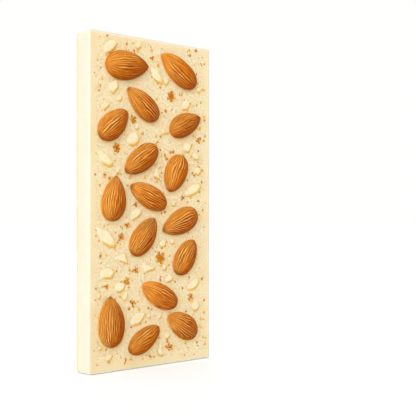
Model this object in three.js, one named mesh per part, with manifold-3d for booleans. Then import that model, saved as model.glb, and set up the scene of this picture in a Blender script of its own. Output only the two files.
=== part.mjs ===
// A thick bar of white chocolate that stands on its lower end. The poured side faces -Y and is
// studded with whole almonds, flakes of blanched almond and clusters of toasted nut crumb. The
// moulded side faces +Y and is divided into rectangles by V-shaped grooves.
// Millimetres, +Z up, with the origin at the centre of the flat lower end.
import * as THREE from "three";
import { mergeVertices } from "three/addons/utils/BufferGeometryUtils.js";
import Module from "manifold-3d";

const wasm = await Module();
wasm.setup();

// The bar.
const BAR_LENGTH = 156;
const BAR_WIDTH = 75;
const SLAB_DEPTH = 8.8;
const EDGE_CHAMFER = 0.5;
const CORNER_FRONT = 0.8; // radius of the bar's four corners at the poured face
const CORNER_BACK = 2; // and at the moulded rectangles
const CORNER_STEPS = 3;
const FRONT = -SLAB_DEPTH / 2;
const BACK = SLAB_DEPTH / 2;

// The moulded rectangles on the back, and the grooves between them.
const COLUMNS = 3;
const ROWS = 4;
const TILE_HEIGHT = 4.8;
const TILE_BEVEL = 3.3;
const TILE_ROUNDING = 0.6;
const GROOVE_FLAT = 0.3;
const TILE_ROOT = 1; // how deep the rectangles are rooted in the slab

// The almonds. Each lies on its flat side, pressed into the poured face.
const ALMOND_FLATNESS = 0.64; // thickness over width
const ALMOND_SUNK = 0.34; // share of the thickness that is below the face
const ALMOND_BLUNT = 0.5; // how sharply the skin closes at the end away from the tip
const ALMOND_SIDES = 16;
const ALMOND_RINGS = 10;
const ALMOND_GAP = 0.3; // between an almond and the dent that it lies in

// Outlines of flakes, inside a box that reaches about 1 each way. A splinter is a mirrored shard.
const SHARD = [[1, -0.95], [0.67, 1], [-1, 0.33]];
const WEDGE = [[1, 0.25], [0.5, 0.8], [-0.8, 1], [-1, -0.7], [0.6, -0.9]];
const OVAL_CORNERS = 8;
const CHIP_CORNERS = 5;
const CHIP_REACH = 1.1;
const CHIP_UNEVENNESS = 0.25; // how far a corner strays either way, in radians
const MOON_BACK = 0.45; // how far a moon bulges on its flatter side
const LEAF_TAPER = 0.3; // how much narrower a leaf grows towards its ends

// The small toppings, which are one with the chocolate. Each narrows outwards, in steps that say
// how far out of the face it has come and what share of its full width it has there.
const FLAKE_STEPS = [
  { out: 0.95, share: 0.62 },
  { out: 0.55, share: 0.94 },
  { out: -0.6, share: 1 },
];
const CRUMB_STEPS = [
  { out: 0.9, share: 0.55 },
  { out: -0.6, share: 1 },
];
const CRUMB_SIZE = 1.6;
const TOPPING_SEED = 11;

// Whole almonds: centre across and up the bar, length, width, the way the tip points in degrees
// anticlockwise from +X as seen from the front, and how sharply the skin closes at the tip, where
// 0.5 is as round as a sphere and 1 is a cone.
const ALMONDS = [
  { x: -16.5, z: 141.6, length: 25, width: 13.5, turn: 3, point: 0.75 },
  { x: 15.6, z: 142.9, length: 25.4, width: 12.1, turn: 148, point: 0.68 },
  { x: -7, z: 124.6, length: 22.2, width: 11.2, turn: 143, point: 0.7 },
  { x: -24.5, z: 114.1, length: 20.2, width: 11.8, turn: 39, point: 0.68 },
  { x: 20.2, z: 116.6, length: 21.4, width: 11.2, turn: 23, point: 0.74 },
  { x: -8, z: 98.5, length: 22.4, width: 11.3, turn: -147, point: 0.58 },
  { x: 13.6, z: 92.5, length: 19.5, width: 12.5, turn: -114, point: 0.6 },
  { x: -24.5, z: 79.7, length: 21, width: 12.8, turn: 81, point: 0.78 },
  { x: -3.5, z: 81, length: 23.4, width: 11, turn: 156, point: 0.63 },
  { x: 16.5, z: 69, length: 23.4, width: 12, turn: -158, point: 0.71 },
  { x: -6.5, z: 62.1, length: 21.6, width: 11.8, turn: 51, point: 0.66 },
  { x: 20, z: 51.6, length: 19.8, width: 11.8, turn: 55, point: 0.65 },
  { x: 3.5, z: 33.9, length: 23.6, width: 11.3, turn: 154, point: 0.62 },
  { x: -26, z: 23.1, length: 23.4, width: 13.7, turn: 92, point: 0.72 },
  { x: -6, z: 13.6, length: 20.6, width: 10.3, turn: 29, point: 0.6 },
  { x: 17.9, z: 18.1, length: 20.6, width: 11.8, turn: 150, point: 0.68 },
];

// Flakes of blanched almond: outline, centre, length, width and turn.
const FLAKES = [
  { kind: "moon", x: -25.6, z: 148.8, length: 9.4, width: 6.2, turn: 218 },
  { kind: "chip", x: -9.2, z: 152.2, length: 4.4, width: 3.2, turn: 80 },
  { kind: "leaf", x: 1.9, z: 138.9, length: 10.4, width: 4.6, turn: -42 },
  { kind: "chip", x: 8.2, z: 136.8, length: 3.6, width: 3.2, turn: 0 },
  { kind: "wedge", x: -23.7, z: 131.1, length: 6.6, width: 4.9, turn: 52 },
  { kind: "chip", x: -20.2, z: 126, length: 2.8, width: 2.2, turn: 20 },
  { kind: "chip", x: -28.9, z: 121.6, length: 4.4, width: 3.2, turn: 10 },
  { kind: "chip", x: 20.9, z: 126.3, length: 6, width: 4.6, turn: 20 },
  { kind: "chip", x: 29.8, z: 134.5, length: 3.2, width: 2.4, turn: 0 },
  { kind: "chip", x: -10, z: 113.6, length: 2.8, width: 2.6, turn: 60 },
  { kind: "disc", x: -12.4, z: 107.6, length: 8.4, width: 5.8, turn: 17 },
  { kind: "moon", x: -28.2, z: 98, length: 10, width: 5.8, turn: -37 },
  { kind: "chip", x: 22, z: 105.5, length: 5.8, width: 4.8, turn: 20 },
  { kind: "chip", x: 27.8, z: 101.4, length: 4.6, width: 3.4, turn: -20 },
  { kind: "disc", x: 29.2, z: 94, length: 4.2, width: 3.6, turn: 30 },
  { kind: "splinter", x: 2.4, z: 92.2, length: 6, width: 4.2, turn: -95 },
  { kind: "moon", x: 25.5, z: 85.2, length: 12.8, width: 6.4, turn: 22 },
  { kind: "chip", x: 6.2, z: 112.2, length: 3, width: 2.4, turn: 0 },
  { kind: "chip", x: 13.2, z: 77.5, length: 2.8, width: 2, turn: 30 },
  { kind: "moon", x: -10.5, z: 72, length: 8, width: 5.8, turn: 213 },
  { kind: "leaf", x: -28.1, z: 61.8, length: 14.2, width: 5.8, turn: -39 },
  { kind: "shard", x: -19.8, z: 51.6, length: 9.4, width: 5.2, turn: 0 },
  { kind: "chip", x: -27.6, z: 45.4, length: 8.4, width: 5.4, turn: 0 },
  { kind: "shard", x: -2.6, z: 47.1, length: 9.2, width: 4.8, turn: 180 },
  { kind: "chip", x: 6, z: 58.4, length: 4.8, width: 3.4, turn: 30 },
  { kind: "chip", x: 12.2, z: 59, length: 3.2, width: 2.4, turn: 0 },
  { kind: "chip", x: 7.1, z: 46.8, length: 3, width: 2.8, turn: 15 },
  { kind: "chip", x: 10, z: 41.2, length: 5.2, width: 3.6, turn: 25 },
  { kind: "disc", x: -20.2, z: 38.6, length: 6.4, width: 4.4, turn: 10 },
  { kind: "chip", x: -16.9, z: 34.2, length: 4.8, width: 2.8, turn: 55 },
  { kind: "moon", x: 25.8, z: 38.2, length: 9.4, width: 5.8, turn: 28 },
  { kind: "disc", x: 27.4, z: 26.9, length: 5.4, width: 4.8, turn: 0 },
  { kind: "leaf", x: -9.6, z: 23.3, length: 10.4, width: 5.2, turn: 26 },
  { kind: "splinter", x: 4.8, z: 7.6, length: 7.2, width: 4.2, turn: -95 },
  { kind: "leaf", x: -26.4, z: 6.8, length: 4.6, width: 2.7, turn: 25 },
  { kind: "chip", x: 9.2, z: 13.6, length: 3.6, width: 2.6, turn: 0 },
  { kind: "chip", x: -2.6, z: 24, length: 2.2, width: 2, turn: 0 },
  { kind: "chip", x: 4.2, z: 23.2, length: 2.2, width: 1.8, turn: 30 },
  { kind: "chip", x: -32, z: 35.2, length: 2.6, width: 1.6, turn: 80 },
  { kind: "chip", x: -21.3, z: 92.4, length: 2.6, width: 1.8, turn: 80 },
  { kind: "chip", x: -31.6, z: 11.6, length: 2.4, width: 2, turn: 0 },
];

// Clusters of toasted crumb: centre, how far the crumbs spread, and how many there are.
const CLUSTERS = [
  { x: 11.4, z: 130, spread: 1.7, crumbs: 7 },
  { x: -12, z: 117, spread: 1.2, crumbs: 5 },
  { x: -21.9, z: 103.2, spread: 1.4, crumbs: 5 },
  { x: 29.5, z: 109.2, spread: 1.1, crumbs: 3 },
  { x: 4.5, z: 51.6, spread: 1.8, crumbs: 8 },
  { x: -19.3, z: 61.8, spread: 1.1, crumbs: 3 },
  { x: -15.8, z: 41.4, spread: 1.1, crumbs: 5 },
  { x: -27.8, z: 39.4, spread: 0.7, crumbs: 3 },
  { x: -10.8, z: 46.5, spread: 0.9, crumbs: 4 },
  { x: 24.2, z: 31.6, spread: 1.4, crumbs: 5 },
  { x: -12.6, z: 31, spread: 1.1, crumbs: 4 },
  { x: 10.7, z: 8, spread: 1.3, crumbs: 5 },
  { x: 7.6, z: 101.4, spread: 0.4, crumbs: 2 },
  { x: -28.9, z: 91, spread: 0.5, crumbs: 2 },
  { x: 19.2, z: 80.6, spread: 0.6, crumbs: 3 },
  { x: -10.8, z: 77.2, spread: 0.8, crumbs: 3 },
  { x: -15.8, z: 67.4, spread: 0.9, crumbs: 3 },
  { x: -0.6, z: 147.2, spread: 0.7, crumbs: 3 },
  { x: -31.3, z: 53.5, spread: 0.5, crumbs: 2 },
  { x: -1.6, z: 5, spread: 0.5, crumbs: 2 },
  { x: -16.5, z: 4.8, spread: 0.5, crumbs: 2 },
];

const CHOCOLATE = new THREE.MeshStandardMaterial({ color: 0xf3dfb4, roughness: 0.45, metalness: 0 });
const ALMOND_SKIN = new THREE.MeshStandardMaterial({ color: 0xb8702f, roughness: 0.6, metalness: 0 });

const radians = THREE.MathUtils.degToRad;

// Numbers from 0 to 1 that are the same on every run (the mulberry32 generator).
function seeded(seed) {
  let state = seed;
  return () => {
    state = (state + 0x6d2b79f5) | 0;
    let mixed = Math.imul(state ^ (state >>> 15), 1 | state);
    mixed = (mixed + Math.imul(mixed ^ (mixed >>> 7), 61 | mixed)) ^ mixed;
    return ((mixed ^ (mixed >>> 14)) >>> 0) / 4294967296;
  };
}

function between(random, low, high) {
  return low + (high - low) * random();
}

function solidFrom(geometry) {
  geometry.deleteAttribute("normal");
  geometry.deleteAttribute("uv");
  const merged = mergeVertices(geometry, 1e-4);
  return new wasm.Manifold(
    new wasm.Mesh({
      numProp: 3,
      vertProperties: new Float32Array(merged.attributes.position.array),
      triVerts: new Uint32Array(merged.index.array),
    }),
  );
}

function geometryFrom(solid) {
  const mesh = solid.getMesh();
  const geometry = new THREE.BufferGeometry();
  geometry.setAttribute("position", new THREE.BufferAttribute(new Float32Array(mesh.vertProperties), 3));
  geometry.setIndex(new THREE.BufferAttribute(new Uint32Array(mesh.triVerts), 1));
  const faceted = geometry.toNonIndexed();
  faceted.computeVertexNormals();
  return faceted;
}

// A closed solid through convex outlines stacked along +Y. Each ring is { y, points: [[x, z], ...] },
// with its points running from +X towards +Z, and every ring has the same number of points.
function loft(rings) {
  const count = rings[0].points.length;
  const positions = rings.flatMap(({ y, points }) => points.flatMap(([x, z]) => [x, y, z]));
  const faces = [];
  for (let ring = 0; ring + 1 < rings.length; ring++) {
    for (let i = 0; i < count; i++) {
      const near = ring * count + i;
      const nearNext = ring * count + ((i + 1) % count);
      faces.push(near, near + count, nearNext, nearNext, near + count, nearNext + count);
    }
  }
  const last = (rings.length - 1) * count;
  for (let i = 1; i + 1 < count; i++) {
    faces.push(0, i, i + 1, last, last + i + 1, last + i);
  }
  const geometry = new THREE.BufferGeometry();
  geometry.setAttribute("position", new THREE.Float32BufferAttribute(positions, 3));
  geometry.setIndex(faces);
  return solidFrom(geometry);
}

function rectangle(left, right, bottom, top, inset) {
  return [
    [right - inset, bottom + inset],
    [right - inset, top - inset],
    [left + inset, top - inset],
    [left + inset, bottom + inset],
  ];
}

// The bar's own outline with its four corners rounded.
function barOutline(inset, radius) {
  const quarter = Math.PI / 2;
  const centres = rectangle(-BAR_WIDTH / 2, BAR_WIDTH / 2, 0, BAR_LENGTH, inset + radius);
  return centres.flatMap(([x, z], corner) =>
    Array.from({ length: CORNER_STEPS + 1 }, (_, step) => {
      const angle = (corner - 1 + step / CORNER_STEPS) * quarter;
      return [x + radius * Math.cos(angle), z + radius * Math.sin(angle)];
    }),
  );
}

// The slab. The edges of its poured face are eased, and its corners are rounder towards the back.
// Between the corners its lower end is flat, so that it stands.
function slab() {
  return loft([
    { y: FRONT, points: barOutline(EDGE_CHAMFER, CORNER_FRONT) },
    { y: FRONT + EDGE_CHAMFER, points: barOutline(0, CORNER_FRONT) },
    { y: BACK, points: barOutline(0, CORNER_BACK) },
  ]);
}

// What the moulded rectangles are cut to, so that those at the corners are as round as the slab.
function tileBlock() {
  return loft([
    { y: BACK - TILE_ROOT, points: barOutline(0, CORNER_BACK) },
    { y: BACK + TILE_HEIGHT + TILE_ROOT, points: barOutline(0, CORNER_BACK) },
  ]);
}

// One moulded rectangle: steep bevels up to a flat top with a softened edge.
function tile(column, row) {
  const pitchX = BAR_WIDTH / COLUMNS;
  const pitchZ = BAR_LENGTH / ROWS;
  const left = -BAR_WIDTH / 2 + column * pitchX;
  const bottom = row * pitchZ;
  const outline = (inset) => rectangle(left, left + pitchX, bottom, bottom + pitchZ, inset);
  return loft([
    { y: BACK - TILE_ROOT, points: outline(GROOVE_FLAT / 2) },
    { y: BACK, points: outline(GROOVE_FLAT / 2) },
    { y: BACK + TILE_HEIGHT - TILE_ROUNDING, points: outline(TILE_BEVEL - TILE_ROUNDING / 2) },
    { y: BACK + TILE_HEIGHT, points: outline(TILE_BEVEL + TILE_ROUNDING) },
  ]);
}

// An almond along X with its tip at +X, its width along Z and its thickness along Y. A sphere is
// drawn out so that it closes to a point at the tip. Swell grows it all round, to cut its dent.
function almond({ length, width, x, z, turn, point }, swell) {
  const thickness = width * ALMOND_FLATNESS;
  const widest = (ALMOND_BLUNT - point) / (ALMOND_BLUNT + point);
  const taper = (t) => Math.max(1 + t, 0) ** ALMOND_BLUNT * Math.max(1 - t, 0) ** point;
  const sphere = new THREE.SphereGeometry(1, ALMOND_SIDES, ALMOND_RINGS);
  sphere.rotateZ(-Math.PI / 2);
  const points = sphere.attributes.position;
  for (let i = 0; i < points.count; i++) {
    const along = THREE.MathUtils.clamp(points.getX(i), -1, 1);
    const round = Math.sqrt(1 - along * along);
    const drawn = round > 1e-6 ? taper(along) / taper(widest) / round : 0;
    points.setXYZ(i, along, points.getY(i) * drawn, points.getZ(i) * drawn);
  }
  sphere.scale(length / 2 + swell, thickness / 2 + swell, width / 2 + swell);
  sphere.rotateY(radians(-turn));
  sphere.translate(x, FRONT - thickness * (0.5 - ALMOND_SUNK), z);
  return sphere;
}

// The outline of a flake, inside a box that reaches about 1 each way from its centre.
function flakeOutline(kind, random) {
  if (kind === "shard") return SHARD;
  if (kind === "splinter") return SHARD.map(([across, up]) => [across, -up]).reverse();
  if (kind === "wedge") return WEDGE;
  const corners = kind === "chip" ? CHIP_CORNERS : OVAL_CORNERS;
  return Array.from({ length: corners }, (_, i) => {
    const angle = (2 * Math.PI * i) / corners;
    const across = Math.cos(angle);
    const up = Math.sin(angle);
    if (kind === "moon") return [across, up < 0 ? up : MOON_BACK * up];
    if (kind === "leaf") return [across, up * (1 - LEAF_TAPER * Math.abs(across))];
    if (kind === "disc") return [across, up];
    const strayed = angle + between(random, -CHIP_UNEVENNESS, CHIP_UNEVENNESS);
    return [CHIP_REACH * Math.cos(strayed), CHIP_REACH * Math.sin(strayed)];
  });
}

// A piece of nut that is set in the poured face.
function topping({ kind, x, z, length, width, turn }, steps, random) {
  const outline = flakeOutline(kind, random);
  const [cos, sin] = [Math.cos(radians(turn)), Math.sin(radians(turn))];
  return loft(
    steps.map(({ out, share }) => ({
      y: FRONT - out,
      points: outline.map(([across, up]) => {
        const [a, b] = [(across * share * length) / 2, (up * share * width) / 2];
        return [x + a * cos - b * sin, z + a * sin + b * cos];
      }),
    })),
  );
}

// Angular crumbs in a ring about one in the middle.
function cluster({ x, z, spread, crumbs }, random) {
  return Array.from({ length: crumbs }, (_, i) => {
    const angle = (2 * Math.PI * i) / Math.max(crumbs - 1, 2) + random();
    const reach = i === 0 ? 0 : spread * between(random, 0.75, 1.05);
    const length = CRUMB_SIZE * between(random, 0.8, 1.2);
    const crumb = {
      kind: "chip",
      x: x + reach * Math.cos(angle),
      z: z + reach * Math.sin(angle),
      length,
      width: length * between(random, 0.75, 1),
      turn: 360 * random(),
    };
    return topping(crumb, CRUMB_STEPS, random);
  });
}

function chocolate() {
  const random = seeded(TOPPING_SEED);
  let solid = slab();
  for (let column = 0; column < COLUMNS; column++) {
    for (let row = 0; row < ROWS; row++) {
      solid = solid.add(tile(column, row).intersect(tileBlock()));
    }
  }
  for (const each of FLAKES) {
    solid = solid.add(topping(each, FLAKE_STEPS, random));
  }
  for (const crumb of CLUSTERS.flatMap((each) => cluster(each, random))) {
    solid = solid.add(crumb);
  }
  for (const each of ALMONDS) {
    solid = solid.subtract(solidFrom(almond(each, ALMOND_GAP)));
  }
  return solid;
}

const bar = new THREE.Group();

const chocolateMesh = new THREE.Mesh(geometryFrom(chocolate()), CHOCOLATE);
chocolateMesh.name = "chocolate";
bar.add(chocolateMesh);

ALMONDS.forEach((each, i) => {
  const mesh = new THREE.Mesh(geometryFrom(solidFrom(almond(each, 0))), ALMOND_SKIN);
  mesh.name = `almond_${String(i + 1).padStart(2, "0")}`;
  bar.add(mesh);
});

export default bar;
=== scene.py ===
"""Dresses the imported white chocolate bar: smooth moulded chocolate, a sandy poured face with whole
almonds, flakes of blanched almond, clusters of toasted crumb and fine nut dust."""

import math
import random

import bpy
import numpy as np
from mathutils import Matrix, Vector, noise


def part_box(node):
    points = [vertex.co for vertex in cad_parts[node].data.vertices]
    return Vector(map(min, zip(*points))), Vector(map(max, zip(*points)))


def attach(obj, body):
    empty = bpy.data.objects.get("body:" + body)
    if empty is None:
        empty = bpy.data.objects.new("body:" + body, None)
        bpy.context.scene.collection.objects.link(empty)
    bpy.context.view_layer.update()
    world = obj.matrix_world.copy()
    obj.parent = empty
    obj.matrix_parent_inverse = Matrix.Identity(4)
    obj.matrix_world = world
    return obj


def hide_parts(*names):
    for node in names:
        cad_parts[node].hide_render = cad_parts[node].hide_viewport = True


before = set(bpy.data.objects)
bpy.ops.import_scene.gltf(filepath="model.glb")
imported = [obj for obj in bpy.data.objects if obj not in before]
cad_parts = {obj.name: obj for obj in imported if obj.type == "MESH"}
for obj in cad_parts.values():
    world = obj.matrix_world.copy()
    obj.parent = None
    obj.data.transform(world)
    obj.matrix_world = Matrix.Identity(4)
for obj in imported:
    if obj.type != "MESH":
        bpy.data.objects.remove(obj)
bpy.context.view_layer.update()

MM = 0.001  # shapes below are worked out in millimetres, and turned into metres at the end

# ----------------------------------------------------------
# Sizes of the bar

SLAB_DEPTH = 8.8  # from the poured face to the bottom of the moulded side's grooves
TILE_HEIGHT = 4.8  # of the moulded rectangles over those grooves
TILE_BEVEL = 3.3  # how wide the sloping sides of the rectangles are
COLUMNS = 3
ROWS = 4
INWARD = np.array((0, 1, 0))  # from the poured face into the bar
TINY = 1e-6  # below this, a length counts as none

chocolate_low, chocolate_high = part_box("chocolate")
WIDTH = (chocolate_high.x - chocolate_low.x) / MM
LENGTH = (chocolate_high.z - chocolate_low.z) / MM
LEFT = chocolate_low.x / MM
RIGHT = chocolate_high.x / MM
BACK = chocolate_high.y / MM - TILE_HEIGHT
FRONT = BACK - SLAB_DEPTH
PITCH_X = WIDTH / COLUMNS
PITCH_Z = LENGTH / ROWS

FRONT_ROUNDING = 0.8
BACK_ROUNDING = 0.6
CORNER_FRONT = 1.0  # radius of the four corners of the bar at the poured face
CORNER_BACK = 2.0  # and at the moulded side

ALMOND_NODES = sorted(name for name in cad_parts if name.startswith("almond_"))

# The sandy part of the poured face keeps off its edges.
MARGIN_SIDE = 3.9
MARGIN_TOP = 2.8
MARGIN_BOTTOM = 4.0
MARGIN_FADE = (1.2, 1.6)  # how far outside and inside a margin the sand begins and is full
MARGIN_FADE_TOP = (1.0, 1.6)
MARGIN_WANDER = 1.2  # how far a margin strays, and over what length
MARGIN_WAVES = 7.0

# Flakes of blanched almond: kind, place across and up the face, length, width, turn.
FLAKES = [
    ("moon", -25.6, 148.8, 9.4, 6.2, 218),
    ("chip", -9.2, 152.2, 4.4, 3.2, 80),
    ("leaf", 1.9, 138.9, 10.4, 4.6, -42),
    ("chip", 8.2, 136.8, 3.6, 3.2, 0),
    ("wedge", -23.7, 131.1, 6.6, 4.9, 52),
    ("chip", -20.2, 126.0, 2.8, 2.2, 20),
    ("chip", -28.9, 121.6, 4.4, 3.2, 10),
    ("chip", 20.9, 126.3, 6.0, 4.6, 20),
    ("chip", 29.8, 134.5, 3.2, 2.4, 0),
    ("chip", -10.0, 113.6, 2.8, 2.6, 60),
    ("disc", -12.4, 107.6, 8.4, 5.8, 17),
    ("moon", -28.2, 98.0, 10.0, 5.8, -37),
    ("chip", 22.0, 105.5, 5.8, 4.8, 20),
    ("chip", 27.8, 101.4, 4.6, 3.4, -20),
    ("disc", 29.2, 94.0, 4.2, 3.6, 30),
    ("splinter", 2.4, 92.2, 6.0, 4.2, -95),
    ("moon", 25.5, 85.2, 12.8, 6.4, 22),
    ("chip", 6.2, 112.2, 3.0, 2.4, 0),
    ("chip", 13.2, 77.5, 2.8, 2.0, 30),
    ("moon", -10.5, 72.0, 8.0, 5.8, 213),
    ("leaf", -28.1, 61.8, 14.2, 5.8, -39),
    ("shard", -19.8, 51.6, 9.4, 5.2, 0),
    ("chip", -27.6, 45.4, 8.4, 5.4, 0),
    ("shard", -2.6, 47.1, 9.2, 4.8, 180),
    ("chip", 6.0, 58.4, 4.8, 3.4, 30),
    ("chip", 12.2, 59.0, 3.2, 2.4, 0),
    ("chip", 7.1, 46.8, 3.0, 2.8, 15),
    ("chip", 10.0, 41.2, 5.2, 3.6, 25),
    ("disc", -20.2, 38.6, 6.4, 4.4, 10),
    ("chip", -16.9, 34.2, 4.8, 2.8, 55),
    ("moon", 25.8, 38.2, 9.4, 5.8, 28),
    ("disc", 27.4, 26.9, 5.4, 4.8, 0),
    ("leaf", -9.6, 23.3, 10.4, 5.2, 26),
    ("splinter", 4.8, 7.6, 7.2, 4.2, -95),
    ("leaf", -26.4, 6.8, 4.6, 2.7, 25),
    ("chip", 9.2, 13.6, 3.6, 2.6, 0),
    ("chip", -2.6, 24.0, 2.2, 2.0, 0),
    ("chip", 4.2, 23.2, 2.2, 1.8, 30),
    ("chip", -32.0, 35.2, 2.6, 1.6, 80),
    ("chip", -21.3, 92.4, 2.6, 1.8, 80),
    ("chip", -31.6, 11.6, 2.4, 2.0, 0),
]

# Clusters of toasted crumb: place across and up the face, how far they spread, how many crumbs.
CLUSTERS = [
    (11.4, 130.0, 2.1, 12),
    (-12.0, 117.0, 1.35, 6),
    (-21.9, 103.2, 1.5, 7),
    (29.5, 109.2, 1.0, 4),
    (4.5, 51.6, 2.2, 13),
    (-19.3, 61.8, 1.2, 5),
    (-15.8, 41.4, 1.25, 6),
    (-27.8, 39.4, 0.8, 4),
    (-10.8, 46.5, 1.1, 5),
    (24.2, 31.6, 1.35, 7),
    (-12.6, 31.0, 1.0, 4),
    (10.7, 8.0, 1.35, 6),
    (7.6, 101.2, 0.6, 3),
    (-28.9, 90.6, 0.6, 3),
    (19.2, 80.6, 0.8, 4),
    (-10.8, 77.2, 0.9, 4),
    (-15.8, 67.4, 1.0, 4),
    (-0.6, 147.2, 0.8, 4),
    (-31.3, 53.5, 0.6, 3),
    (-1.6, 5.0, 0.6, 3),
    (-16.5, 4.8, 0.6, 3),
]

CREST = 0.6  # how far a kernel's skin stands out between two grooves, against their depth

# From the top down, how brown each kernel's skin is, and how strong its grooves are.
SKINS = [
    (0.75, 0.8),
    (0.3, 0.85),
    (0.45, 1.25),
    (0.6, 1.05),
    (0.95, 1.05),
    (0.75, 1.1),
    (0.55, 1.0),
    (0.8, 0.9),
    (0.05, 1.2),
    (0.75, 1.15),
    (0.85, 1.5),
    (0.8, 1.25),
    (0.0, 0.95),
    (0.95, 1.1),
    (0.95, 0.95),
    (0.55, 1.1),
]


# ----------------------------------------------------------
# Small helpers


def smoothstep(low, high, value):
    """A smooth step from 0 at low to 1 at high, which falls where low is the larger."""
    share = np.clip((value - low) / (high - low), 0, 1)
    return share * share * (3 - 2 * share)


def soft_min(a, b, softness):
    """The smaller of two values, with the corner between them rounded off."""
    return 0.5 * (a + b - np.sqrt((a - b) ** 2 + softness**2))


def noise_at(points, scale, offset=0.0):
    """Perlin noise of about -0.7 to 0.7 at (x, y, z) rows, with features of about scale."""
    shift = Vector((offset, offset * 1.7, offset * 0.6))
    return np.array([noise.noise(Vector(p) / scale + shift) for p in points])


def edge_distance(x, z):
    """How far places on the slab lie in from the nearest of its sides, its top and its base."""
    return np.minimum.reduce([x - LEFT, RIGHT - x, z, LENGTH - z])


def add_mesh(name, vertices, faces, material, attributes):
    """A smooth-shaded object on the root body from millimetre vertices, with float attributes."""
    mesh = bpy.data.meshes.new(name)
    mesh.from_pydata((np.asarray(vertices) * MM).tolist(), [], [list(map(int, f)) for f in faces])
    mesh.validate()
    mesh.shade_smooth()
    for key, values in attributes.items():
        values = np.asarray(values, float)
        kind = "FLOAT" if values.ndim == 1 else "FLOAT_VECTOR"
        field = "value" if values.ndim == 1 else "vector"
        mesh.attributes.new(key, kind, "POINT").data.foreach_set(field, values.ravel())
    mesh.materials.append(material)
    piece = bpy.data.objects.new(name, mesh)
    bpy.context.scene.collection.objects.link(piece)
    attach(piece, "root")
    return piece


class Joined:
    """Collects many small closed meshes, each with one tint or one per vertex, into one piece."""

    def __init__(self):
        self.vertices = []
        self.faces = []
        self.tints = []
        self.count = 0

    def add(self, vertices, faces, tint):
        self.vertices.append(vertices)
        self.faces.extend((np.asarray(faces) + self.count).tolist())
        self.tints.append(np.broadcast_to(tint, (len(vertices),)))
        self.count += len(vertices)

    def build(self, name, material):
        vertices = np.concatenate(self.vertices)
        attributes = {"tint": np.concatenate(self.tints)}
        add_mesh(name, vertices, self.faces, material, attributes)


# ----------------------------------------------------------
# Materials


class Nodes:
    """A node material with short calls to make and join its nodes."""

    def __init__(self, name):
        self.material = bpy.data.materials.new(name)
        self.material.use_nodes = True
        self.tree = self.material.node_tree
        self.shader = self.tree.nodes["Principled BSDF"]

    def join(self, value, socket):
        if isinstance(value, bpy.types.NodeSocket):
            self.tree.links.new(value, socket)
        else:
            socket.default_value = value

    def make(self, kind, inputs=None, **settings):
        node = self.tree.nodes.new("ShaderNode" + kind)
        for key, value in settings.items():
            setattr(node, key, value)
        for key, value in (inputs or {}).items():
            self.join(value, node.inputs[key])
        return node

    def place(self):
        return self.make("TexCoord").outputs["Object"]

    def attribute(self, name, output="Fac"):
        return self.make("Attribute", attribute_name=name).outputs[output]

    def texture(self, vector, scale, detail, roughness):
        """Noise of about 0 to 1, with about scale features to each unit of vector."""
        inputs = {"Vector": vector, "Scale": scale, "Detail": detail, "Roughness": roughness}
        return self.make("TexNoise", inputs).outputs["Fac"]

    def noise(self, place, size_mm, detail=2.0, roughness=0.5):
        """The same for places in metres, with features of about size_mm."""
        return self.texture(place, 1 / (size_mm * MM), detail, roughness)

    def spread(self, value, low, high, to_low=0.0, to_high=1.0):
        """Value moved from low..high to to_low..to_high, and kept inside it."""
        inputs = {
            "Value": value,
            "From Min": low,
            "From Max": high,
            "To Min": to_low,
            "To Max": to_high,
        }
        return self.make("MapRange", inputs).outputs["Result"]

    def math(self, operation, first, second):
        return self.make("Math", {0: first, 1: second}, operation=operation).outputs[0]

    def mix(self, share, first, second, blend="MIX"):
        node = self.make("Mix", data_type="RGBA", blend_type=blend)
        self.join(share, node.inputs[0])
        self.join(first, node.inputs[6])
        self.join(second, node.inputs[7])
        return node.outputs[2]

    def mix_vectors(self, share, first, second):
        node = self.make("Mix", data_type="VECTOR")
        self.join(share, node.inputs[0])
        self.join(first, node.inputs[4])
        self.join(second, node.inputs[5])
        return node.outputs[1]

    def bump(self, height, distance_mm, strength=1.0):
        inputs = {"Height": height, "Distance": distance_mm * MM, "Strength": strength}
        return self.make("Bump", inputs).outputs["Normal"]

    def finish(self, **inputs):
        for key, value in inputs.items():
            self.join(value, self.shader.inputs[key.replace("_", " ")])
        return self.material


def colour(red, green, blue):
    """A colour given as it looks on screen, 0 to 255, as the linear one that a shader takes."""

    def linear(channel):
        share = channel / 255
        return share / 12.92 if share <= 0.04045 else ((share + 0.055) / 1.055) ** 2.4

    return (linear(red), linear(green), linear(blue), 1.0)


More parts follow.
